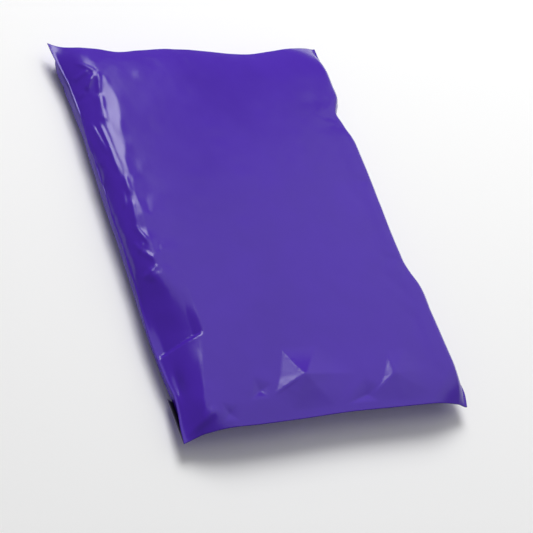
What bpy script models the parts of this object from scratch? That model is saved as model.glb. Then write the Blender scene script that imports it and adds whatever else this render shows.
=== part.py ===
"""Poly mailer bag, closed and filled, lying on its rear panel.

A tube of film is welded down both sides and folded at the far end. At the mouth, the near end,
the front panel runs on as a lip, which is folded under and stuck to the rear panel. Everything is
one folded and welded sheet, sealed round its soft contents, so the bag is one solid.

Metres, +Z up. X is the width, +Y points from the mouth to the folded far end. The origin is on the
surface that the bag lies on, under the middle of its box.
"""
import math

import bmesh
import bpy

# Corner to corner size of the filled bag
BAG_WIDTH = 0.245
BAG_LENGTH = 0.338

# Heights: the side welds lie about half way up the filled bag, and the filling lifts the middle of
# each end by a share of the shoulders' rise
SEAM_HEIGHT = 0.0120
SHOULDER_RISE = 0.0125
FAR_END_LIFT = 0.68
MOUTH_END_LIFT = 0.82
CROWN_RISE = 0.0025
RIM_THICKNESS = 0.0006

# How far in from the rim each wall takes to reach its full height
FRONT_LEFT_REACH = 0.019
FRONT_RIGHT_REACH = 0.013
FRONT_FAR_REACH = 0.040
FRONT_MOUTH_REACH = 0.034
REAR_SIDE_REACH = 0.010
REAR_FAR_REACH = 0.016
REAR_MOUTH_REACH = 0.019
EAR_REACH = 0.046

# The filling draws the rim in between the corners, and most in a neck below each far ear
LEFT_DRAW = 0.0020
LEFT_NECK = {"draw": 0.0026, "place": 0.118, "spread": 0.028}
RIGHT_DRAW = 0.0016
RIGHT_NECK = {"draw": 0.0090, "place": 0.094, "spread": 0.020}
FAR_END_DRAW = 0.0088
FAR_END_BOW = 0.0014
MOUTH_END_DRAW = 0.0026
MOUTH_END_BOW = 0.0010
END_SQUARENESS = 9

# The closing lip, folded under at the mouth, and its free corner on the left
LIP_DEPTH = 0.036
LIP_STEP = 0.0005
LIP_EDGE_SLOPE = 0.0003
LIP_REST_GAP = 0.0100
TAB_OUTREACH = 0.0030
TAB_LENGTH = 0.016
TAB_ROOT = 0.014
TAB_TAPER = 0.8
TAB_CURL = 0.0022
TAB_THICKNESS = 0.0007
TAB_CLEARANCE = 0.0006

# Grid cells of the panels and of the lip's corner
WIDTH_CELLS = 24
LENGTH_CELLS = 30
TAB_WIDTH_CELLS = 4
TAB_LENGTH_CELLS = 3
SHARP_ANGLE = math.radians(40)

FILM_COLOUR = (0.075, 0.022, 0.33, 1.0)
FILM_ROUGHNESS = 0.28

HALF_WIDTH = BAG_WIDTH / 2
HALF_LENGTH = BAG_LENGTH / 2
LIP_EDGE_Y = -HALF_LENGTH + LIP_DEPTH


def clear_scene():
    """Remove every object, so that the file holds the bag alone."""
    for old in list(bpy.data.objects):
        bpy.data.objects.remove(old, do_unlink=True)


def new_collection(name):
    """Add a collection to the scene."""
    collection = bpy.data.collections.new(name)
    bpy.context.scene.collection.children.link(collection)
    return collection


def film_material():
    """Glossy coloured polyethylene film."""
    material = bpy.data.materials.new("mailer_film")
    material.use_nodes = True
    shader = material.node_tree.nodes["Principled BSDF"]
    shader.inputs["Base Color"].default_value = FILM_COLOUR
    shader.inputs["Roughness"].default_value = FILM_ROUGHNESS
    shader.inputs["Metallic"].default_value = 0.0
    return material


def arc_rise(distance, reach):
    """Sine arc: steep at the rim, level from `reach` inwards."""
    share = min(max(distance / reach, 0.0), 1.0)
    return math.sin(share * math.pi / 2)


def round_wall(distance, reach):
    """Quarter ellipse: upright at the rim, level from `reach` inwards."""
    share = min(max(distance / reach, 0.0), 1.0)
    return math.sqrt(1 - (1 - share) ** 2)


def crowd_to_rim(share):
    """Spread a -1 to 1 grid value so that the rows lie closer together near the rim."""
    return math.sin(share * math.pi / 2)


def side_half_width(y, right):
    """Half width of the rim on one side: a shallow draw, and a neck below the far ear."""
    neck = RIGHT_NECK if right else LEFT_NECK
    draw = (RIGHT_DRAW if right else LEFT_DRAW) * (1 - (y / HALF_LENGTH) ** 4)
    return HALF_WIDTH - draw - neck["draw"] * math.exp(-((y - neck["place"]) / neck["spread"]) ** 2)


def end_half_length(x, mouth):
    """Half length of the rim: each end is drawn in just inside its ears, then bows."""
    across = abs(x) / HALF_WIDTH
    draw = MOUTH_END_DRAW if mouth else FAR_END_DRAW
    bow = MOUTH_END_BOW if mouth else FAR_END_BOW
    return HALF_LENGTH - draw * (1 - across ** END_SQUARENESS) - bow * (1 - across ** 2)


def ear_share(x, y):
    """Share of the full height: the two films lie flat on each other in the four ears."""
    return arc_rise(HALF_WIDTH - abs(x) + HALF_LENGTH - abs(y), EAR_REACH)


def side_rise(x):
    """Share of the shoulders' rise reached at x, counted in from the nearer side."""
    return arc_rise(HALF_WIDTH - abs(x), FRONT_RIGHT_REACH if x > 0 else FRONT_LEFT_REACH)


def end_rise(y):
    """Share of the shoulders' rise of the front panel, and of the rim's lift, near the nearer end."""
    mouth = y < 0
    lift = MOUTH_END_LIFT if mouth else FAR_END_LIFT
    slope = arc_rise(HALF_LENGTH - abs(y), FRONT_MOUTH_REACH if mouth else FRONT_FAR_REACH)
    return lift + (1 - lift) * slope, lift * (1 - slope)


def front_height(x, y):
    """Height of the front panel: shoulders along all four sides and a low crown."""
    front_share, _ = end_rise(y)
    crown = (1 - (x / HALF_WIDTH) ** 2) * (1 - (y / HALF_LENGTH) ** 2)
    rise = SHOULDER_RISE * side_rise(x) * front_share * ear_share(x, y)
    return SEAM_HEIGHT + RIM_THICKNESS / 2 + rise + CROWN_RISE * crown


def lip_edge_step(y):
    """The rear panel lies on the lip, and comes back down to the floor past its free edge."""
    past_edge = y - LIP_EDGE_Y
    if past_edge <= 0:
        return 0.0
    if past_edge < LIP_EDGE_SLOPE:
        return LIP_STEP * past_edge / LIP_EDGE_SLOPE
    return LIP_STEP * max(1 - past_edge / LIP_REST_GAP, 0.0)


def end_wall(y):
    """Share of the drop reached in the end walls: round at the far end, sloped at the mouth."""
    end_gap = HALF_LENGTH - abs(y)
    if y < 0:
        return arc_rise(end_gap, REAR_MOUTH_REACH)
    return round_wall(end_gap, REAR_FAR_REACH)


def rear_height(x, y):
    """Height of the rear panel: steep round walls down to the flat that the bag lies on."""
    _, rim_share = end_rise(y)
    ear = ear_share(x, y)
    drop = round_wall(HALF_WIDTH - abs(x), REAR_SIDE_REACH) * end_wall(y) * ear
    top = SEAM_HEIGHT + SHOULDER_RISE * rim_share * side_rise(x) * ear - RIM_THICKNESS / 2
    return top * (1 - drop) + lip_edge_step(y) * drop


def cut_lip_lines(sheet):
    """Add edge loops at the lip's free edge and where the rear panel comes back to rest."""
    for line in (LIP_EDGE_Y, LIP_EDGE_Y + LIP_EDGE_SLOPE, LIP_EDGE_Y + LIP_REST_GAP):
        everything = sheet.verts[:] + sheet.edges[:] + sheet.faces[:]
        bmesh.ops.bisect_plane(sheet, geom=everything, plane_co=(0, line, 0), plane_no=(0, 1, 0))


def bag_mesh():
    """Two panels on one flat grid, joined at the rim, then raised and drawn into shape."""
    sheet = bmesh.new()
    bmesh.ops.create_grid(sheet, x_segments=WIDTH_CELLS, y_segments=LENGTH_CELLS, size=1)
    for vert in sheet.verts:
        vert.co.x = HALF_WIDTH * crowd_to_rim(vert.co.x)
        vert.co.y = HALF_LENGTH * crowd_to_rim(vert.co.y)
    cut_lip_lines(sheet)
    copied = bmesh.ops.extrude_face_region(sheet, geom=sheet.faces[:], use_keep_orig=True)["geom"]
    rear_verts = {item for item in copied if isinstance(item, bmesh.types.BMVert)}
    for vert in sheet.verts:
        x, y = vert.co.x, vert.co.y
        vert.co.z = rear_height(x, y) if vert in rear_verts else front_height(x, y)
        vert.co.x = x * side_half_width(y, right=x > 0) / HALF_WIDTH
        vert.co.y = y * end_half_length(x, mouth=y < 0) / HALF_LENGTH
    bmesh.ops.recalc_face_normals(sheet, faces=sheet.faces[:])
    mesh = bpy.data.meshes.new("mailer_bag")
    sheet.to_mesh(mesh)
    sheet.free()
    return mesh


def lip_corner(collection):
    """The lip's free corner, which stands out past the rear panel's left wall and curls up."""
    flap = bmesh.new()
    bmesh.ops.create_grid(flap, x_segments=TAB_WIDTH_CELLS, y_segments=TAB_LENGTH_CELLS, size=0.5)
    wall_x = -side_half_width(LIP_EDGE_Y, right=False) + REAR_SIDE_REACH / 2
    for vert in flap.verts:
        out = 0.5 - vert.co.x
        back = 0.5 - vert.co.y
        reach = (TAB_ROOT + TAB_OUTREACH) * out * (1 - TAB_TAPER * back)
        vert.co.x = wall_x + TAB_ROOT - reach
        vert.co.y = LIP_EDGE_Y - TAB_LENGTH * back
        vert.co.z = TAB_CLEARANCE + TAB_CURL * out ** 2
    mesh = bpy.data.meshes.new("lip_corner")
    flap.to_mesh(mesh)
    flap.free()
    corner = bpy.data.objects.new("lip_corner", mesh)
    corner.hide_render = True
    corner.display_type = "WIRE"
    collection.objects.link(corner)
    wall = corner.modifiers.new("film", "SOLIDIFY")
    wall.thickness = TAB_THICKNESS
    wall.offset = 1.0
    return corner


def mailer_bag(collection, tools):
    """The whole sealed bag as one closed body, with the lip's corner joined to it."""
    mesh = bag_mesh()
    mesh.materials.append(film_material())
    bag = bpy.data.objects.new("mailer_bag", mesh)
    collection.objects.link(bag)
    join = bag.modifiers.new("lip_corner", "BOOLEAN")
    join.operation = "UNION"
    join.solver = "EXACT"
    join.object = lip_corner(tools)
    mesh.shade_smooth()
    mesh.set_sharp_from_angle(angle=SHARP_ANGLE)
    return bag


def main():
    clear_scene()
    parts = new_collection("poly_mailer_bag")
    tools = new_collection("shaping_tools")
    mailer_bag(parts, tools)


main()
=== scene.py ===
"""Poly mailer bag: the film skin, its closing lip and a plain studio stage.

The bag is one sheet of glossy polyethylene film, purple outside and black inside. Both long sides
are welded, the far end is a fold, and at the mouth the front panel runs on as a lip, which is
folded under and stuck to the rear panel. Laid out as an add-on, and run as a script.
"""
import math
from collections import namedtuple

import bpy
import numpy as np
from bpy.props import FloatProperty, FloatVectorProperty, PointerProperty
from mathutils import Matrix, Vector


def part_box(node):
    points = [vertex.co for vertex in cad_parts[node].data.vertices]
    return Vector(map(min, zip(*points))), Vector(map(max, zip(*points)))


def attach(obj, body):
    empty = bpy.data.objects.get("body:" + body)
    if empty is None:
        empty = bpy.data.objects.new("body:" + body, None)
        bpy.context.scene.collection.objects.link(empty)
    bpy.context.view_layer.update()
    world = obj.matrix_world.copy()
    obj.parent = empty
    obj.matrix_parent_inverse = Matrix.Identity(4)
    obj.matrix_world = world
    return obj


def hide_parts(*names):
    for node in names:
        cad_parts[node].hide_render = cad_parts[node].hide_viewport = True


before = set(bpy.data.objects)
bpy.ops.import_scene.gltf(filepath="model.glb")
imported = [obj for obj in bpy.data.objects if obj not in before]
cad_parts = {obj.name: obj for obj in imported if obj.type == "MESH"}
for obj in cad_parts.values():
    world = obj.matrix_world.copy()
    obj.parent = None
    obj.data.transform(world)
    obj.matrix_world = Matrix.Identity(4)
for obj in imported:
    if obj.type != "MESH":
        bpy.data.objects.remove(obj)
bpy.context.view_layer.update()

CAD_NODE = "mailer_bag"
BODY = "root"
MM = 0.001

bl_info = {
    "name": "Poly Mailer Bag",
    "version": (1, 0, 0),
    "blender": (4, 5, 0),
    "location": "3D View > Sidebar > Mailer",
    "description": "Builds a filled poly mailer bag of glossy film, its closing lip and a stage",
    "category": "Add Mesh",
}

# ---------------------------------------------------------------- sizes, all in millimetres

LOW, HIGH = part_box(CAD_NODE)
HALF_WIDTH = (HIGH[0] - LOW[0]) / 2 / MM
HALF_LENGTH = (HIGH[1] - LOW[1]) / 2 / MM

# The rim seen from above: (distance along the edge, distance of the rim from the bag's middle)
LEFT_RIM = [
    (-169, 122.5), (-156, 121.2), (-145, 119.6), (-134, 118.8), (-122, 120.0), (-100, 121.2),
    (-20, 121.0), (41, 120.2), (77, 118.8), (100, 117.9), (118, 117.6), (130, 118.2), (144, 119.8),
    (158, 121.4), (169, 122.5),
]
RIGHT_RIM = [
    (-169, 122.5), (-158, 125.4), (-145, 125.0), (-120, 124.0), (-93, 123.6), (-66, 122.6),
    (-58, 119.0), (-50, 116.6), (-38, 115.8), (-15, 116.2), (15, 118.0), (50, 119.0), (72, 118.2),
    (84, 114.6), (94, 111.4), (103, 116.0), (110, 120.4), (124, 121.4), (142, 122.8), (158, 122.8),
    (169, 122.5),
]
FAR_RIM = [
    (-122.5, 169), (-113, 164.4), (-100, 160.8), (-84, 157.4), (-72, 155.4), (-54, 157.0),
    (-35, 158.8), (-17, 159.2), (10, 157.6), (32, 155.8), (46, 155.4), (69, 158.8), (98, 164.4),
    (122.5, 169),
]
MOUTH_RIM = [
    (-122.5, 169), (-113, 166.8), (-100, 166.0), (-67, 166.4), (-33, 166.2), (11, 165.4),
    (55, 166.4), (91, 167.2), (108, 167.6), (115, 167.8), (122.5, 169),
]
# How far in from the left rim the film is level: (place along the bag, distance)
LEFT_REACH = [
    (-169, 11), (-156, 13), (-142, 16), (-128, 20), (-112, 25), (-99, 29), (-86, 32), (-73, 33),
    (-61, 29), (-51, 22), (-40, 20), (20, 20), (60, 24), (88, 28), (105, 31), (122, 30), (140, 25),
    (169, 21),
]
# How far in from the rim its drawn-in line is felt, and where relief dies out at the rim
RIM_FADE = 26.0
RELIEF_FADE = 9.0

# Pocket on the left, near the mouth: its place along the bag, its floor and its crease
POCKET_MIDDLE = -86.0
POCKET_HALF = 26.0
POCKET_SHARE = 0.35
POCKET_DEPTH = 3.0
POCKET_LENGTH = 44.0
POCKET_FALL = 1.4
POCKET_RIGHT = -86.5
POCKET_EDGE = 6.0
CREASE_LEFT = -105.5
CREASE_SLOPE = 0.34
CREASE_STEP = 1.4
RAMP_START = -70.0
RAMP_RUN = 20.0
RAMP_BEND = 30
STEP_SHORT = 4.0

# Rim, then the front panel's reaches and how far the filling lifts the middle of each end
FILM_RIM = 0.5
WELD_WIDTH = 2.2
FRONT_RIGHT_REACH = 9.0
FRONT_FAR_REACH = 40.0
FRONT_MOUTH_REACH = 34.0
FAR_END_LIFT = 0.68
MOUTH_END_LIFT = 0.82
EAR_REACH = 42.0

# Rear panel: film used by each turned-under wall, how far in its foot lies, and its bulge
REAR_WALL_FLAT = 14.0
REAR_WALL_IN = 8.0
REAR_WALL_BULGE = 0.6
FAR_BULGE = 2.0
FAR_BULGE_START = 80.0
FAR_BULGE_RUN = 40.0
REAR_FAR_FLAT = 18.0
REAR_FAR_IN = 9.0
REAR_MOUTH_FLAT = 24.0
REAR_MOUTH_IN = 17.0
REAR_END_BULGE = 0.2
MOUTH_STRAIGHT = 0.85
REAR_SLACK_FADE = 30.0

# Closing lip: the step it makes in the rear panel, its clearances and its two corners
LIP_STEP = 0.55
LIP_RAMP = 5.0
LIP_FLOOR = 0.18
LIP_GAP = 0.35
LIP_STUCK = 104.0
LIP_COLUMNS = 150
LIP_ROWS = 34
LIP_LEFT_CORNER = 7.0
LIP_RIGHT_CORNER = 1.5
LIP_CORNER_OUT = -2.3

# Stage: the floor in millimetres, then ways, distances and sizes of lamps in metres
FLOOR_HALF = 4000.0
WORLD_STRENGTH = 0.24
KEY_WAY = (0.1, 0.645, 0.76)
KEY_AWAY = 1.8
KEY_SIZE = (0.8, 0.6)
FILL_WAY = (0.60, 0.14, 0.79)
FILL_AWAY = 1.5
FILL_SIZE = (1.25, 2.0)
BOUNCE_WAY = (0.08, 0.68, 0.72)
BOUNCE_AWAY = 4.0
BOUNCE_SIZE = (2.4, 2.4)
CAMERA_PLACE = (-0.6657, -0.5447, 0.8943)
CAMERA_RIGHT = (0.8372, -0.3266, 0.4387)
CAMERA_UP = (0.0538, 0.8474, 0.5282)
CAMERA_BACK = (-0.5443, -0.4186, 0.7270)
LENS = 110.8

# Cloth run: its film is cut to these half sizes; holds are shares, the unit is a tenth of a metre
CLOTH_COLUMNS = 84
CLOTH_ROWS = 116
CLOTH_FRAMES = 25
CLOTH_UNIT = 0.01
FLAT_HALF_WIDTH = 125.0
FLAT_HALF_LENGTH = 173.0
HOLD = 0.6
HOLD_START = 6.0
HOLD_RUN = 30.0
RIM_HOLD = 0.02
BUMP = 0.5
BUMP_SIZE = 9.0
REAR_BUMP_SHARE = -0.6
BUMP_SEED = 3
CLOTH_SETTINGS = {
    "quality": 6, "mass": 0.2, "air_damping": 3, "tension_stiffness": 40, "compression_stiffness": 40,
    "shear_stiffness": 15, "bending_model": "ANGULAR", "bending_stiffness": 0.05,
    "tension_damping": 8, "compression_damping": 8, "shear_damping": 8, "bending_damping": 0.5,
    "pin_stiffness": 0.25, "use_pressure": True, "uniform_pressure_force": 1.5,
}
SLACK_LIMIT = 2.0
SLACK_FRONT = 23.0
SLACK_REAR = 15.0
FACE_SLACK = 0.06
MOUTH_HELD = 60.0
FAR_TAUT = 0.85
FAR_TAUT_WIDTH = 40.0
RIGHT_TAUT = 0.5
RIGHT_TAUT_WIDTH = 40.0
RIGHT_TAUT_RUN = 30.0
CALM_WIDTH = 36.0
CALM_MIDDLE = -105.0
CALM_HALF = 40.0
CALM_SHARE = 1.0

# Film folds raised on the front panel: start, end, half width, height
FRONT_FOLDS = [
    ((-110, 146), (-97, 132), 1.5, 0.7), ((-102, 136), (-114, 130), 1.5, 0.8),
    ((-102, 130), (-108, 118), 1.3, 0.9), ((-98, 133), (-110, 119), 1.6, 0.9),
    ((-108, 119), (-116, 113), 1.4, 0.6), ((-96, 134), (-101, 112), 1.6, 1.0),
    ((-101, 116), (-103, 86), 3.2, 1.0), ((-112, 92), (-109, 58), 1.3, 0.9),
    ((-107, 92), (-107, 36), 1.3, 0.9), ((-105, 40), (-106, 22), 2.0, 0.8),
    ((-109, 28), (-111, 12), 1.2, 0.7), ((-106, 20), (-109, -8), 1.8, 0.9),
    ((-110, -2), (-105, -20), 1.4, 0.9), ((-113, -15), (-111, -25), 1.1, 0.8),
    ((-108, -17), (-112, -26), 1.1, 0.8), ((-111, -24), (-104, -34), 1.6, 0.9),
    ((-116, -45), (-103, -38), 1.4, 0.8),
    ((-122, -168), (-95, -150), 3.4, 1.1),
]
# Hollows in the front panel: middle, half sizes, turn in degrees, depth
FRONT_HOLLOWS = [
    ((-113.5, -128), (4.0, 12), -8, 2.8), ((-95, 150), (16, 10), 30, 0.5),
]
# Low tents of buckled film, and small sunk ones: a peak, and the corners of the ring round it
FRONT_TENTS = [
    ((-20, -135.5, 4.6), 2, [
        (-28.5, -111.5), (-40, -135), (-49, -147.5), (-36, -160), (0, -161), (26, -137), (2, -112),
    ]),
    ((57.5, -141.5, 2.4), 2, [
        (61, -121), (46.5, -143), (34, -156), (60, -165), (84, -158), (90, -140), (78, -120),
    ]),
    ((-58, -142, -1.6), 0, [(-70, -149), (-52, -149), (-47, -138), (-60, -131)]),
    ((30, -154, -1.9), 0, [(8, -160), (38, -161), (42, -147), (31, -140)]),
    ((-87, -156, -1.3), 0, [(-95, -162), (-80, -163), (-79, -151), (-92, -147)]),
    ((-110, -45, 1.9), 1, [(-110, -36), (-102, -45), (-106, -52), (-113, -50), (-115, -42)]),
]
TENT_HANG = 1.5
CREASE = 0.5

# Finishes: widths and heights of patterns in millimetres
CLOUD_SIZE = 46.0
DRAW_LINE_SIZE = 3.5
DRAW_LINE_HEIGHT = 0.005
DRAW_LINE_STRETCH = (1, 22, 22)
CRINKLE_SIZE = 4.5
CRINKLE_HEIGHT = 0.05
CRINKLE_STRETCH = (1, 1.8, 1)
MARK_STRETCH = (1, 3, 1)
PAPER_FIBRE_SIZE = 0.8
FILM_IOR = 1.51
FILM_TINT = 0.045
FILM_ROUGHNESS = (0.21, 0.25)
LINE_ROUGHNESS = (-0.006, 0.006)
INNER_ROUGHNESS = (0.27, 0.37)
PAPER_ROUGHNESS = (0.85, 0.95)
PAPER_SPECULAR = 0.2
NOISE_ROUGHNESS = 0.55
NOISE_RANGE = (0.3, 0.7)

# Grid of each panel, and where it is finer: (share added, distance from the edge)
GRID_COLUMNS = 190
GRID_ROWS = 236
FINE_SAMPLES = 2000
LEFT_FINER = (1.5, 26.0)
RIGHT_FINER = (1.2, 9.0)
MOUTH_FINER = (1.4, 45.0)
FAR_FINER = (0.8, 14.0)


# ---------------------------------------------------------------- shape helpers

def ease(share):
    """Smooth step from 0 to 1: three times the square less twice the cube."""
    share = np.clip(share, 0.0, 1.0)
    return share * share * (3 - 2 * share)


def arc_rise(distance, reach):
    """Sine arc: steep at the rim, level from `reach` inwards."""
    return np.sin(np.clip(distance / reach, 0.0, 1.0) * np.pi / 2)


def through(place, value, at):
    """Smooth curve through values at places: cubic pieces whose slopes are central differences."""
    slope = np.gradient(value, place, axis=0)
    step = np.clip(np.searchsorted(place, at, side="right") - 1, 0, len(place) - 2)
    wide = place[step + 1] - place[step]
    share = np.clip((at - place[step]) / wide, 0.0, 1.0)
    if value.ndim > 1:
        wide, share = wide[:, None], share[:, None]
    square, cube = share ** 2, share ** 3
    return (
        (2 * cube - 3 * square + 1) * value[step]
        + (cube - 2 * square + share) * wide * slope[step]
        + (3 * square - 2 * cube) * value[step + 1]
        + (cube - square) * wide * slope[step + 1]
    )


def rim_curve(points, at):
    """Smooth curve through a list of (place, value) points."""
    return through(*np.array(points, float).T, at)


def crowded(half, count, low_end, high_end):
    """`count` places from -half to half, closer together near each end, as an exponential fades."""
    fine = np.linspace(-half, half, FINE_SAMPLES)
    density = 1 + low_end[0] * np.exp(-(fine + half) / low_end[1])
    density = density + high_end[0] * np.exp(-(half - fine) / high_end[1])
    total = np.cumsum(density)
    total = (total - total[0]) / (total[-1] - total[0])
    return np.interp(np.linspace(0, 1, count), total, fine)


def panel_grid():
    """Flat grid of the panel, finer near the left shoulder and the mouth, where the film creases."""
    x = crowded(HALF_WIDTH, GRID_COLUMNS, LEFT_FINER, RIGHT_FINER)
    y = crowded(HALF_LENGTH, GRID_ROWS, MOUTH_FINER, FAR_FINER)
    return np.meshgrid(x, y)


def rim_shift(x, y):
    """How far the drawn-in rim carries the film at (x, y), fading out inwards from each edge."""
    left = rim_curve(LEFT_RIM, y) - HALF_WIDTH
    right = rim_curve(RIGHT_RIM, y) - HALF_WIDTH
    far = rim_curve(FAR_RIM, x) - HALF_LENGTH
    mouth = rim_curve(MOUTH_RIM, x) - HALF_LENGTH
    dx = right * np.exp(-(HALF_WIDTH - x) / RIM_FADE) - left * np.exp(-(HALF_WIDTH + x) / RIM_FADE)
    dy = far * np.exp(-(HALF_LENGTH - y) / RIM_FADE) - mouth * np.exp(-(HALF_LENGTH + y) / RIM_FADE)
    return dx, dy


def fold(x, y, start, end, half_width, height):
    """A raised fold: a bell across its line, and a smooth rise and fall along it."""
    run = np.subtract(end, start)
    length = np.hypot(*run)
    along = ((x - start[0]) * run[0] + (y - start[1]) * run[1]) / length ** 2
    across = ((x - start[0]) * run[1] - (y - start[1]) * run[0]) / length
    return height * np.exp(-(across / half_width) ** 2) * ease(along * 4) * ease((1 - along) * 4)


def hollow(x, y, middle, half_sizes, turn, depth):
    """An elliptical bell, turned in the plane, that the film sinks by."""
    cosine, sine = math.cos(math.radians(turn)), math.sin(math.radians(turn))
    u = ((x - middle[0]) * cosine + (y - middle[1]) * sine) / half_sizes[0]
    v = ((y - middle[1]) * cosine - (x - middle[0]) * sine) / half_sizes[1]
    return depth * np.exp(-(u ** 2 + v ** 2))


def tent(x, y, peak, flat_sides, ring):
    """Film from a peak to each edge of a ring: the first sides are flat, the rest hang hollow."""
    share = np.zeros_like(x)
    for side, (one, two) in enumerate(zip(ring, ring[1:] + ring[:1])):
        base = np.vstack([np.array([peak[:2], one, two], float).T, np.ones(3)])
        shares = np.linalg.inv(base) @ np.stack([np.ravel(x), np.ravel(y), np.ones(x.size)])
        inside = (shares >= 0).all(axis=0).reshape(x.shape)
        hang = 1.0 if side < flat_sides else TENT_HANG
        share = np.where(inside, np.clip(shares[0].reshape(x.shape), 0, 1) ** hang, share)
    return peak[2] * share


def soft_tent(x, y, peak, flat_sides, ring):
    """Mean of the tent over a small cross, which rounds its creases."""
    steps = ((0, 0), (CREASE, 0), (-CREASE, 0), (0, CREASE), (0, -CREASE))
    total = sum(tent(x + across, y + along, peak, flat_sides, ring) for across, along in steps)
    return total / len(steps)


def drawn_pocket(x, y):
    """The pocket's floor: it falls evenly towards a crease, past which the film steps up again."""
    above = y - (CREASE_LEFT + CREASE_SLOPE * (x + HALF_WIDTH))
    walls = np.minimum(above / CREASE_STEP, (POCKET_RIGHT - x) / POCKET_EDGE)
    fall = np.clip(1 - above / POCKET_LENGTH, 0, 1) ** POCKET_FALL
    return POCKET_DEPTH * np.clip(walls, 0, 1) * fall


def front_relief(x, y):
    """Height that the folds, tents and hollows add to the front panel."""
    relief = sum(fold(x, y, *one) for one in FRONT_FOLDS)
    relief = relief + sum(soft_tent(x, y, *one) for one in FRONT_TENTS)
    return relief - sum(hollow(x, y, *one) for one in FRONT_HOLLOWS) - drawn_pocket(x, y)


def front_panel(x, y, sizes):
    """Front panel: a product of four sine-arc shoulders, flattened in the ears, and a low crown."""
    side_gap, end_gap = gaps(x, y)
    side, ear = side_rise(x, y, side_gap), ear_share(side_gap, end_gap)
    lift = np.where(y > 0, FAR_END_LIFT, MOUTH_END_LIFT)
    end_reach = np.where(y > 0, FRONT_FAR_REACH, FRONT_MOUTH_REACH)
    end = lift + (1 - lift) * arc_rise(end_gap, end_reach)
    crown = (1 - (x / HALF_WIDTH) ** 2) * (1 - (y / HALF_LENGTH) ** 2)
    z = sizes.seam + FILM_RIM / 2 + sizes.shoulder * side * end * ear + sizes.crown * crown
    dx, dy = rim_shift(x, y)
    z = z + front_relief(x + dx, y + dy) * ease(np.minimum(side_gap, end_gap) / RELIEF_FADE)
    return x + dx, y + dy, z


def gaps(x, y):
    """Distances from the nearer side and from the nearer end."""
    return HALF_WIDTH - np.abs(x), HALF_LENGTH - np.abs(y)


def side_rise(x, y, side_gap):
    """Share of the height across the bag: a sine arc on the left, a rounder, steeper one on the right.

    Where the film is drawn in, the left arc turns into a smooth step, which makes a pocket."""
    reach = rim_curve(LEFT_REACH, y)
    pocket = POCKET_SHARE * np.exp(-((y - POCKET_MIDDLE) / POCKET_HALF) ** 2)
    left = arc_rise(side_gap - WELD_WIDTH, reach)
    share = np.clip(side_gap - WELD_WIDTH, 0, None) / reach
    ramp = share / (1 + share ** RAMP_BEND) ** (1 / RAMP_BEND)
    left = left + (ramp - left) * ease((RAMP_START - y) / RAMP_RUN)
    left = left + (ease((side_gap - WELD_WIDTH) / (reach - STEP_SHORT)) - left) * pocket
    right = np.sqrt(arc_rise(side_gap - WELD_WIDTH, FRONT_RIGHT_REACH))
    return np.where(x > 0, right, left)


def ear_share(side_gap, end_gap):
    """Share of the height that is left in the ears, where the two films lie together."""
    return arc_rise(side_gap + end_gap, EAR_REACH)


def wall_turn(gap, flat):
    """Angle through which a wall has turned under, from 0 at the rim to a right angle at its foot."""
    return np.clip(gap / flat, 0, 1) * np.pi / 2


def wall_out(gap, flat, inset, bulge, straight=0.0):
    """How far outwards of the plain grid the wall's film lies, fading out along the flat bottom."""
    turn = wall_turn(gap, flat)
    arc = 1 - np.cos(turn)
    place = inset * (arc + (np.sin(turn) - arc) * straight) - bulge * np.sin(2 * turn)
    inside = np.clip(gap, 0, flat) - place
    return inside * np.exp(-np.clip(gap - flat, 0, None) / REAR_SLACK_FADE)


def end_wall(y, end_gap):
    """Turn and outward place of the film in the end walls; the mouth's wall slopes further under."""
    flat = np.where(y > 0, REAR_FAR_FLAT, REAR_MOUTH_FLAT)
    inset = np.where(y > 0, REAR_FAR_IN, REAR_MOUTH_IN)
    straight = np.where(y > 0, 0, MOUTH_STRAIGHT)
    return wall_turn(end_gap, flat), wall_out(end_gap, flat, inset, REAR_END_BULGE, straight)


def rear_panel(x, y, sizes):
    """Rear panel: each wall turns down through a bulging quarter circle, then the film lies flat."""
    side_gap, end_gap = gaps(x, y)
    ear = ear_share(side_gap, end_gap)
    side_turn = wall_turn(side_gap - WELD_WIDTH, REAR_WALL_FLAT)
    end_turn, out_y = end_wall(y, end_gap)
    drop = np.sin(side_turn) * np.sin(end_turn) * ear
    z = (rim_height(x, y, side_gap, ear, sizes) - FILM_RIM / 2) * (1 - drop)
    z = z + LIP_STEP * ease((sizes.lip + LIP_RAMP - (HALF_LENGTH + y)) / LIP_RAMP) * drop
    bulge = REAR_WALL_BULGE + FAR_BULGE * ease((y - FAR_BULGE_START) / FAR_BULGE_RUN)
    out_x = wall_out(side_gap - WELD_WIDTH, REAR_WALL_FLAT, REAR_WALL_IN, bulge)
    dx, dy = rim_shift(x, y)
    x_out = np.sign(x) * out_x * np.sin(end_turn) * ear
    y_out = np.sign(y) * out_y * np.sin(side_turn) * ear
    return x + dx + x_out, y + dy + y_out, z


def rim_height(x, y, side_gap, ear, sizes):
    """Height of the rim over the table: lifted in the middle of each end by what fills the bag."""
    lift = np.where(y > 0, FAR_END_LIFT, MOUTH_END_LIFT)
    return sizes.seam + sizes.shoulder * lift * side_rise(x, y, side_gap) * ear


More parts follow.
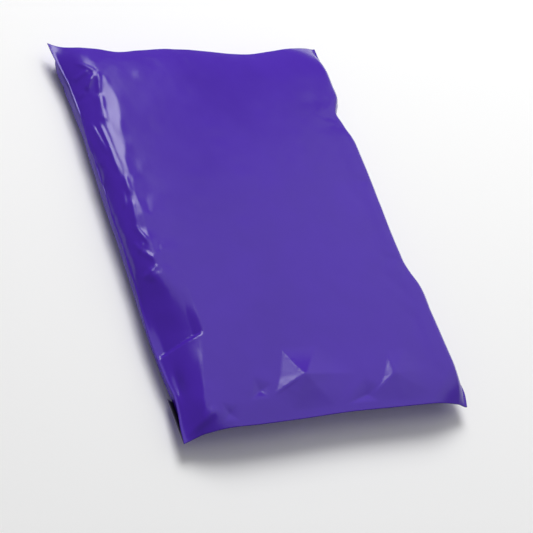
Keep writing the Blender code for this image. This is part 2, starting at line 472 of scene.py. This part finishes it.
def lip_sheet(x, depth, sizes):
    """Closing lip: it leaves the mouth's rim, follows the end wall under the bag and lies flat.

    Its sides are not stuck: they leave the wall on a square curve, towards a line that falls from
    the ear to a free corner, out beyond the bag's drawn-in rim."""
    y = -HALF_LENGTH + 0 * x
    side_gap, end_gap = gaps(x, y)
    dx, dy = rim_shift(x, y)
    top = rim_height(x, y, side_gap, ear_share(side_gap, end_gap), sizes)
    turn = wall_turn(depth, REAR_MOUTH_FLAT)
    out = wall_out(depth, REAR_MOUTH_FLAT, REAR_MOUTH_IN, REAR_END_BULGE, MOUTH_STRAIGHT)
    z = (top - LIP_FLOOR) * (1 - np.sin(turn)) + LIP_FLOOR - LIP_GAP * np.sin(2 * turn)
    y_place = y + dy + depth - out - LIP_GAP * np.sin(2 * turn)
    free = np.clip((np.abs(x) - LIP_STUCK) / (HALF_WIDTH - LIP_STUCK), 0, 1) ** 2
    corner = np.where(x < 0, LIP_LEFT_CORNER, LIP_RIGHT_CORNER)
    share = depth / sizes.lip
    z = z + (top + (corner - top) * share - LIP_GAP - z) * free
    y_place = y_place + (y + dy + depth - y_place) * free
    x_place = x + dx + np.sign(x) * LIP_CORNER_OUT * free * share
    return x_place, y_place, z


# ---------------------------------------------------------------- meshes

def grid_faces(rows, columns, offset=0, turned=False):
    """Quads of a grid whose points are numbered row by row."""
    first = (np.arange(rows - 1)[:, None] * columns + np.arange(columns - 1)).ravel() + offset
    quads = np.stack([first, first + 1, first + columns + 1, first + columns], 1)
    return quads[:, ::-1] if turned else quads


def rim_faces(rows, columns, offset):
    """Quads that close the rim between two grids, the second numbered from `offset`."""
    bottom = np.arange(columns - 1)
    right = np.arange(rows - 1) * columns + columns - 1
    top = (rows - 1) * columns + np.arange(columns - 1, 0, -1)
    left = np.arange(rows - 1, 0, -1) * columns
    loop = np.concatenate([bottom, right, top, left])
    after = np.roll(loop, -1)
    return np.stack([loop + offset, after + offset, after, loop], 1)


def new_piece(name, points, quads, materials):
    """Mesh object from points in millimetres and quads, smooth shaded, placed in its mesh."""
    mesh = bpy.data.meshes.new(name)
    mesh.from_pydata((points * MM).tolist(), [], quads.tolist())
    mesh.update()
    mesh.shade_smooth()
    for material in materials:
        mesh.materials.append(material)
    piece = bpy.data.objects.new(name, mesh)
    bpy.context.scene.collection.objects.link(piece)
    return piece


def stack(*arrays):
    """Coordinate arrays as one list of points."""
    return np.stack([np.ravel(a) for a in arrays], 1)


# ---------------------------------------------------------------- cloth pass

def uneven(rng, x, y, step):
    """Smooth random heights: values on a coarse grid, with a cubic curve through them each way."""
    across = np.linspace(-HALF_WIDTH, HALF_WIDTH, int(2 * HALF_WIDTH / step) + 2)
    along = np.linspace(-HALF_LENGTH, HALF_LENGTH, int(2 * HALF_LENGTH / step) + 2)
    values = rng.normal(0, 1, (len(along), len(across)))
    return through(across, through(along, values, y).T, x).T


def cloth_sheet(x, y, sizes):
    """Coarse bag for the simulation: both panels on one grid, sharing the points of the rim."""
    across, along = np.meshgrid(x, y)
    rows, columns = across.shape
    rim = np.ones((rows, columns), bool)
    rim[1:-1, 1:-1] = False
    inner = np.flatnonzero(~rim.ravel())
    front = stack(*front_panel(across, along, sizes))
    rear = stack(*rear_panel(across, along, sizes))
    front[rim.ravel(), 2] -= FILM_RIM / 2
    rear_number = np.arange(rows * columns)
    rear_number[inner] = rows * columns + np.arange(len(inner))
    quads = grid_faces(rows, columns)
    quads = np.concatenate([quads, rear_number[quads[:, ::-1]]])
    wider, longer = FLAT_HALF_WIDTH / HALF_WIDTH, FLAT_HALF_LENGTH / HALF_LENGTH
    flat = stack(across * wider, along * longer, 0 * across)
    gap = np.minimum(*gaps(across, along)).ravel()
    hold = HOLD * np.clip((gap - HOLD_START) / HOLD_RUN, 0, 1)
    hold[rim.ravel()] = RIM_HOLD
    rng = np.random.default_rng(BUMP_SEED)
    bumps = BUMP * (uneven(rng, x, y, BUMP_SIZE) + uneven(rng, x, y, 2 * BUMP_SIZE)).ravel()
    return {
        "points": np.concatenate([front, rear[inner]]), "quads": quads,
        "flat": np.concatenate([flat, flat[inner]]), "hold": np.concatenate([hold, hold[inner]]),
        "bumps": np.concatenate([bumps, REAR_BUMP_SHARE * bumps[inner]]), "rear": rear_number,
    }


def simulate(sheet):
    """Cloth run: film cut a little larger than the bag is blown up, so its slack puckers the rim.

    Returns the moved points in millimetres, and leaves nothing behind."""
    start = sheet["points"].copy()
    start[:, 2] += sheet["bumps"]
    mesh = bpy.data.meshes.new("cloth_run")
    mesh.from_pydata((start * CLOTH_UNIT).tolist(), [], sheet["quads"].tolist())
    runner = bpy.data.objects.new("cloth_run", mesh)
    bpy.context.scene.collection.objects.link(runner)
    runner.shape_key_add(name="start")
    cut = runner.shape_key_add(name="cut")
    cut.data.foreach_set("co", (sheet["flat"] * CLOTH_UNIT).ravel())
    group = runner.vertex_groups.new(name="hold")
    for number, hold in enumerate(sheet["hold"].tolist()):
        group.add([number], hold, "REPLACE")
    cloth = runner.modifiers.new("cloth", "CLOTH")
    settings = cloth.settings
    for name, value in CLOTH_SETTINGS.items():
        setattr(settings, name, value)
    settings.vertex_group_mass = "hold"
    settings.rest_shape_key = cut
    settings.effector_weights.gravity = 0
    cloth.collision_settings.use_collision = False
    cloth.point_cache.frame_end = CLOTH_FRAMES
    scene = bpy.context.scene
    for number in range(1, CLOTH_FRAMES + 1):
        scene.frame_set(number)
    result = runner.evaluated_get(bpy.context.evaluated_depsgraph_get()).data
    moved = np.empty(len(sheet["points"]) * 3)
    result.vertices.foreach_get("co", moved)
    bpy.data.objects.remove(runner)
    bpy.data.meshes.remove(mesh)
    scene.frame_set(1)
    return moved.reshape(-1, 3) / CLOTH_UNIT


def slack_shares(x, y):
    """Share of the cloth run's movement kept on the front and on the rear.

    Full at the left rim, little on the tight face, none where the rear film rests; less in the
    pocket and at the taut far and right edges, and none at the mouth, where the lip holds it."""
    gap = np.minimum(*gaps(x, y))
    mouth = ease((HALF_LENGTH + y) / MOUTH_HELD)
    far = 1 - FAR_TAUT * np.exp(-((HALF_LENGTH - y) / FAR_TAUT_WIDTH) ** 2)
    right = 1 - RIGHT_TAUT * ease((x - HALF_WIDTH + RIGHT_TAUT_WIDTH) / RIGHT_TAUT_RUN)
    calm = np.exp(-((x + HALF_WIDTH) / CALM_WIDTH) ** 2 - ((y - CALM_MIDDLE) / CALM_HALF) ** 2)
    kept = mouth * far * right * (1 - CALM_SHARE * calm)
    front = FACE_SLACK + (1 - FACE_SLACK) * np.exp(-(gap / SLACK_FRONT) ** 2)
    return kept * front, kept * np.exp(-(gap / SLACK_REAR) ** 2)


def slack(x, y, sizes):
    """Movement of the front and rear film in the cloth run, on the fine grid of the panels."""
    across = np.linspace(-HALF_WIDTH, HALF_WIDTH, CLOTH_COLUMNS)
    along = np.linspace(-HALF_LENGTH, HALF_LENGTH, CLOTH_ROWS)
    sheet = cloth_sheet(across, along, sizes)
    moved = np.clip(simulate(sheet) - sheet["points"], -SLACK_LIMIT, SLACK_LIMIT)
    front = moved[:CLOTH_COLUMNS * CLOTH_ROWS]
    rear = moved[sheet["rear"]]
    panels = []
    for panel, share in zip((front, rear), slack_shares(x, y)):
        values = panel.reshape(CLOTH_ROWS, CLOTH_COLUMNS, 3)
        rows = [through(along, values[:, :, axis], y[:, 0]) for axis in range(3)]
        fine = [through(across, row.T, x[0]).T for row in rows]
        panels.append(np.stack(fine, 2) * share[:, :, None])
    return panels


# ---------------------------------------------------------------- materials

def srgb(code):
    """Linear RGBA of an sRGB hex colour."""
    parts = [int(code[at:at + 2], 16) / 255 for at in (0, 2, 4)]
    return (*[p / 12.92 if p <= 0.04045 else ((p + 0.055) / 1.055) ** 2.4 for p in parts], 1.0)


def add_node(tree, kind, settings=None, inputs=None):
    """Add a node, set its properties, and fill or link its inputs."""
    node = tree.nodes.new(kind)
    for key, value in (settings or {}).items():
        setattr(node, key, value)
    for key, value in (inputs or {}).items():
        if isinstance(value, bpy.types.NodeSocket):
            tree.links.new(value, node.inputs[key])
        else:
            node.inputs[key].default_value = value
    return node


def start_material(name):
    """New material with a node tree: the tree, its shader and places on the object in metres."""
    material = bpy.data.materials.new(name)
    material.use_nodes = True
    tree = material.node_tree
    place = add_node(tree, "ShaderNodeTexCoord").outputs["Object"]
    return material, tree, tree.nodes["Principled BSDF"], place


def noise(tree, place, size, detail, stretch=(1, 1, 1)):
    """Noise whose spots are about `size` millimetres wide, drawn out by `stretch`."""
    scale = [1 / (size * MM * part) for part in stretch]
    turned = add_node(tree, "ShaderNodeMapping", inputs={"Vector": place, "Scale": scale})
    inputs = {"Vector": turned.outputs[0], "Scale": 1.0, "Detail": detail, "Roughness": NOISE_ROUGHNESS}
    return add_node(tree, "ShaderNodeTexNoise", inputs=inputs).outputs["Fac"]


def spread(tree, value, low, high):
    """The middle of a noise's range, spread evenly from low to high."""
    low_value, high_value = NOISE_RANGE
    inputs = {"Value": value, "From Min": low_value, "From Max": high_value, "To Min": low, "To Max": high}
    return add_node(tree, "ShaderNodeMapRange", inputs=inputs).outputs[0]


def film_material(colour, name="polyethylene_film_purple"):
    """Blown, co-extruded polyethylene film.

    It is pigmented through, so colour comes from just under a smooth skin: a clear, even gloss.
    The eye sees soft-edged reflections, faint draw lines along the web, and slow clouds where the
    gauge varies or the film clings to what is packed under it."""
    material, tree, shader, place = start_material(name)
    clouds = noise(tree, place, CLOUD_SIZE, 2.0)
    lines = noise(tree, place, DRAW_LINE_SIZE, 1.0, DRAW_LINE_STRETCH)
    crinkle = noise(tree, place, CRINKLE_SIZE, 3.0, CRINKLE_STRETCH)
    thin, thick = [[part * share for part in colour[:3]] + [1] for share in (1 - FILM_TINT, 1 + FILM_TINT)]
    tint = add_node(tree, "ShaderNodeMix", {"data_type": "RGBA"},
                    {"Factor": spread(tree, clouds, 0.0, 1.0), 6: thin, 7: thick})
    tree.links.new(tint.outputs[2], shader.inputs["Base Color"])
    gloss = add_node(tree, "ShaderNodeMath", {"operation": "ADD"},
                     {0: spread(tree, clouds, *FILM_ROUGHNESS), 1: spread(tree, lines, *LINE_ROUGHNESS)})
    tree.links.new(gloss.outputs[0], shader.inputs["Roughness"])
    waves = add_node(tree, "ShaderNodeBump", inputs={
        "Strength": 1.0, "Distance": DRAW_LINE_HEIGHT * MM, "Height": lines})
    creases = add_node(tree, "ShaderNodeBump", inputs={
        "Strength": 1.0, "Distance": CRINKLE_HEIGHT * MM, "Height": crinkle,
        "Normal": waves.outputs[0]})
    tree.links.new(creases.outputs[0], shader.inputs["Normal"])
    shader.inputs["IOR"].default_value = FILM_IOR
    return material


def inner_material(colour):
    """Inside of the same film: carbon-black polyethylene, a little duller than the outside.

    The eye sees a near-black sheet that still carries a grey sheen, broken by fine handling marks.
    Its base colour is a dark grey, lighter than the real black: painted light that lifts the lip's
    corner out of the shade the bag casts on it."""
    material, tree, shader, place = start_material("polyethylene_film_black_lightened_for_shade")
    marks = noise(tree, place, CRINKLE_SIZE, 3.0, MARK_STRETCH)
    shader.inputs["Base Color"].default_value = colour
    tree.links.new(spread(tree, marks, *INNER_ROUGHNESS), shader.inputs["Roughness"])
    creases = add_node(tree, "ShaderNodeBump", inputs={
        "Strength": 1.0, "Distance": CRINKLE_HEIGHT * MM, "Height": marks})
    tree.links.new(creases.outputs[0], shader.inputs["Normal"])
    shader.inputs["IOR"].default_value = FILM_IOR
    return material


def paper_material(colour):
    """Background paper off a roll: white, matt, with a barely visible felt texture."""
    material, tree, shader, place = start_material("studio_paper")
    fibre = noise(tree, place, PAPER_FIBRE_SIZE, 3.0)
    shader.inputs["Base Color"].default_value = colour
    tree.links.new(spread(tree, fibre, *PAPER_ROUGHNESS), shader.inputs["Roughness"])
    shader.inputs["Specular IOR Level"].default_value = PAPER_SPECULAR
    return material


# ---------------------------------------------------------------- operators

Sizes = namedtuple("Sizes", "seam shoulder crown lip film")


def length(name, description, default):
    """A length in metres that the user may change."""
    return FloatProperty(name=name, description=description, default=default, min=0, unit="LENGTH",
                         subtype="DISTANCE", precision=5)


def colour(name, description, code):
    """A colour that the user may change, given as an sRGB hex code."""
    return FloatVectorProperty(name=name, description=description, default=srgb(code), size=4,
                               min=0, max=1, subtype="COLOR")


def power(name, description, default):
    """The power of a lamp, in watts."""
    return FloatProperty(name=name, description=description, default=default, min=0,
                         unit="POWER")


class MAILER_PG_sizes(bpy.types.PropertyGroup):
    """Sizes of the filled bag"""

    seam: length("Seam height", "Height of the welded side seams over the table", 0.012)
    shoulder: length("Shoulder rise", "Rise of the front panel from the seams to its face", 0.0125)
    crown: length("Crown rise", "Rise of the face from its edges to its middle", 0.0022)
    lip: length("Lip depth", "How far the closing lip is folded under the mouth", 0.037)
    film: length("Film thickness", "Thickness of the film of the lip", 0.00014)

    def in_mm(self):
        """The sizes in millimetres."""
        return Sizes(*[getattr(self, name) / MM for name in Sizes._fields])


class MAILER_PG_colours(bpy.types.PropertyGroup):
    """Colours of the film and the floor"""

    outside: colour("Outside", "Film on the outside of the bag", "441AA6")
    # The inside film's grey is lighter than its real black: painted light against the shade the bag casts
    # on the lip's corner.
    inside: colour("Inside", "Film on the inside of the bag", "55515E")
    paper: colour("Paper", "Background paper under the bag", "F7F7F7")


class MAILER_PG_stage(bpy.types.PropertyGroup):
    """Lamps of the studio"""

    key: power("Key", "Strip softbox over the far end, seen in the film's folds", 10.2)
    fill: power("Fill", "Wide softbox to the right, seen in the flat face", 4.8)
    bounce: power("Bounce", "Soft light from the far end, not seen in the film", 95)


class MAILER_OT_bag(bpy.types.Operator):
    """Build the filled bag's skin of film: a lofted front and rear, puckered by a cloth run"""

    bl_idname = "mailer.bag"
    bl_label = "Bag"

    def execute(self, context):
        sizes = context.scene.mailer_sizes.in_mm()
        x, y = panel_grid()
        rows, columns = x.shape
        front_slack, rear_slack = slack(x, y, sizes)
        front = stack(*front_panel(x, y, sizes)) + front_slack.reshape(-1, 3)
        rear = stack(*rear_panel(x, y, sizes)) + rear_slack.reshape(-1, 3)
        rear[:, 2] = np.maximum(rear[:, 2], 0)
        quads = np.concatenate([
            grid_faces(rows, columns),
            grid_faces(rows, columns, rows * columns, turned=True),
            rim_faces(rows, columns, rows * columns),
        ])
        film = film_material(context.scene.mailer_colours.outside)
        piece = new_piece("bag_film", np.concatenate([front, rear]), quads, [film])
        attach(piece, BODY)
        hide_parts(CAD_NODE)
        return {"FINISHED"}


class MAILER_OT_lip(bpy.types.Operator):
    """Build the closing lip, folded under the mouth and stuck to the rear panel"""

    bl_idname = "mailer.lip"
    bl_label = "Lip"

    def execute(self, context):
        sizes = context.scene.mailer_sizes.in_mm()
        colours = context.scene.mailer_colours
        x, depth = np.meshgrid(np.linspace(-HALF_WIDTH, HALF_WIDTH, LIP_COLUMNS),
                               np.linspace(0, sizes.lip, LIP_ROWS))
        films = [film_material(colours.outside, "lip_film_purple"), inner_material(colours.inside)]
        piece = new_piece("closing_lip", stack(*lip_sheet(x, depth, sizes)),
                          grid_faces(*x.shape, turned=True), films)
        solid = piece.modifiers.new("film", "SOLIDIFY")
        solid.thickness = sizes.film * MM
        solid.offset = 0
        solid.material_offset = 1
        solid.material_offset_rim = 1
        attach(piece, BODY)
        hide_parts(CAD_NODE)
        return {"FINISHED"}


def area_light(name, way, away, size, watts):
    """Rectangular softbox hung `away` metres off along `way`, facing the bag."""
    data = bpy.data.lights.new(name, "AREA")
    data.shape = "RECTANGLE"
    data.size, data.size_y = size
    data.energy = watts
    light = bpy.data.objects.new(name, data)
    light.location = Vector(way).normalized() * away
    light.rotation_mode = "QUATERNION"
    light.rotation_quaternion = Vector(way).to_track_quat("Z", "Y")
    bpy.context.scene.collection.objects.link(light)
    return light


class MAILER_OT_stage(bpy.types.Operator):
    """Lay the pale floor, hang the softboxes and set the camera"""

    bl_idname = "mailer.stage"
    bl_label = "Stage"

    def execute(self, context):
        scene = context.scene
        lamps = scene.mailer_stage
        corners = np.array([[-1, -1, 0], [1, -1, 0], [1, 1, 0], [-1, 1, 0]]) * FLOOR_HALF
        paper = paper_material(scene.mailer_colours.paper)
        new_piece("floor", corners, np.array([[0, 1, 2, 3]]), [paper])
        world = bpy.data.worlds.new("studio")
        world.use_nodes = True
        world.node_tree.nodes["Background"].inputs["Color"].default_value = (1, 1, 1, 1)
        world.node_tree.nodes["Background"].inputs["Strength"].default_value = WORLD_STRENGTH
        scene.world = world
        area_light("key_softbox", KEY_WAY, KEY_AWAY, KEY_SIZE, lamps.key)
        area_light("fill_softbox", FILL_WAY, FILL_AWAY, FILL_SIZE, lamps.fill)
        bounce = area_light("bounce_softbox", BOUNCE_WAY, BOUNCE_AWAY, BOUNCE_SIZE, lamps.bounce)
        bounce.visible_glossy = False
        camera_data = bpy.data.cameras.new("camera")
        camera_data.lens = LENS
        camera_data.sensor_width = 36.0
        camera = bpy.data.objects.new("camera", camera_data)
        turn = Matrix((CAMERA_RIGHT, CAMERA_UP, CAMERA_BACK)).transposed().to_4x4()
        camera.matrix_world = Matrix.Translation(CAMERA_PLACE) @ turn
        scene.collection.objects.link(camera)
        scene.camera = camera
        scene.view_settings.view_transform = "Standard"
        return {"FINISHED"}


class MAILER_PT_panel(bpy.types.Panel):
    """Sidebar panel: the sizes and colours, and a button for each piece"""

    bl_idname = "MAILER_PT_panel"
    bl_label = "Poly Mailer Bag"
    bl_space_type = "VIEW_3D"
    bl_region_type = "UI"
    bl_category = "Mailer"

    def draw(self, context):
        for group in GROUPS:
            box = self.layout.box()
            settings = getattr(context.scene, group)
            for name in settings.__annotations__:
                box.prop(settings, name)
        for operator in PIECES:
            self.layout.operator(operator.bl_idname)


PIECES = (MAILER_OT_bag, MAILER_OT_lip, MAILER_OT_stage)
GROUPS = {
    "mailer_sizes": MAILER_PG_sizes,
    "mailer_colours": MAILER_PG_colours,
    "mailer_stage": MAILER_PG_stage,
}
CLASSES = (*GROUPS.values(), *PIECES, MAILER_PT_panel)


def register():
    for cls in CLASSES:
        bpy.utils.register_class(cls)
    for name, group in GROUPS.items():
        setattr(bpy.types.Scene, name, PointerProperty(type=group))


def unregister():
    for name in GROUPS:
        delattr(bpy.types.Scene, name)
    for cls in reversed(CLASSES):
        bpy.utils.unregister_class(cls)


def main():
    """Register, build the bag, the lip and the stage in turn."""
    register()
    bpy.ops.mailer.bag()
    bpy.ops.mailer.lip()
    bpy.ops.mailer.stage()


if __name__ == "__main__":
    main()
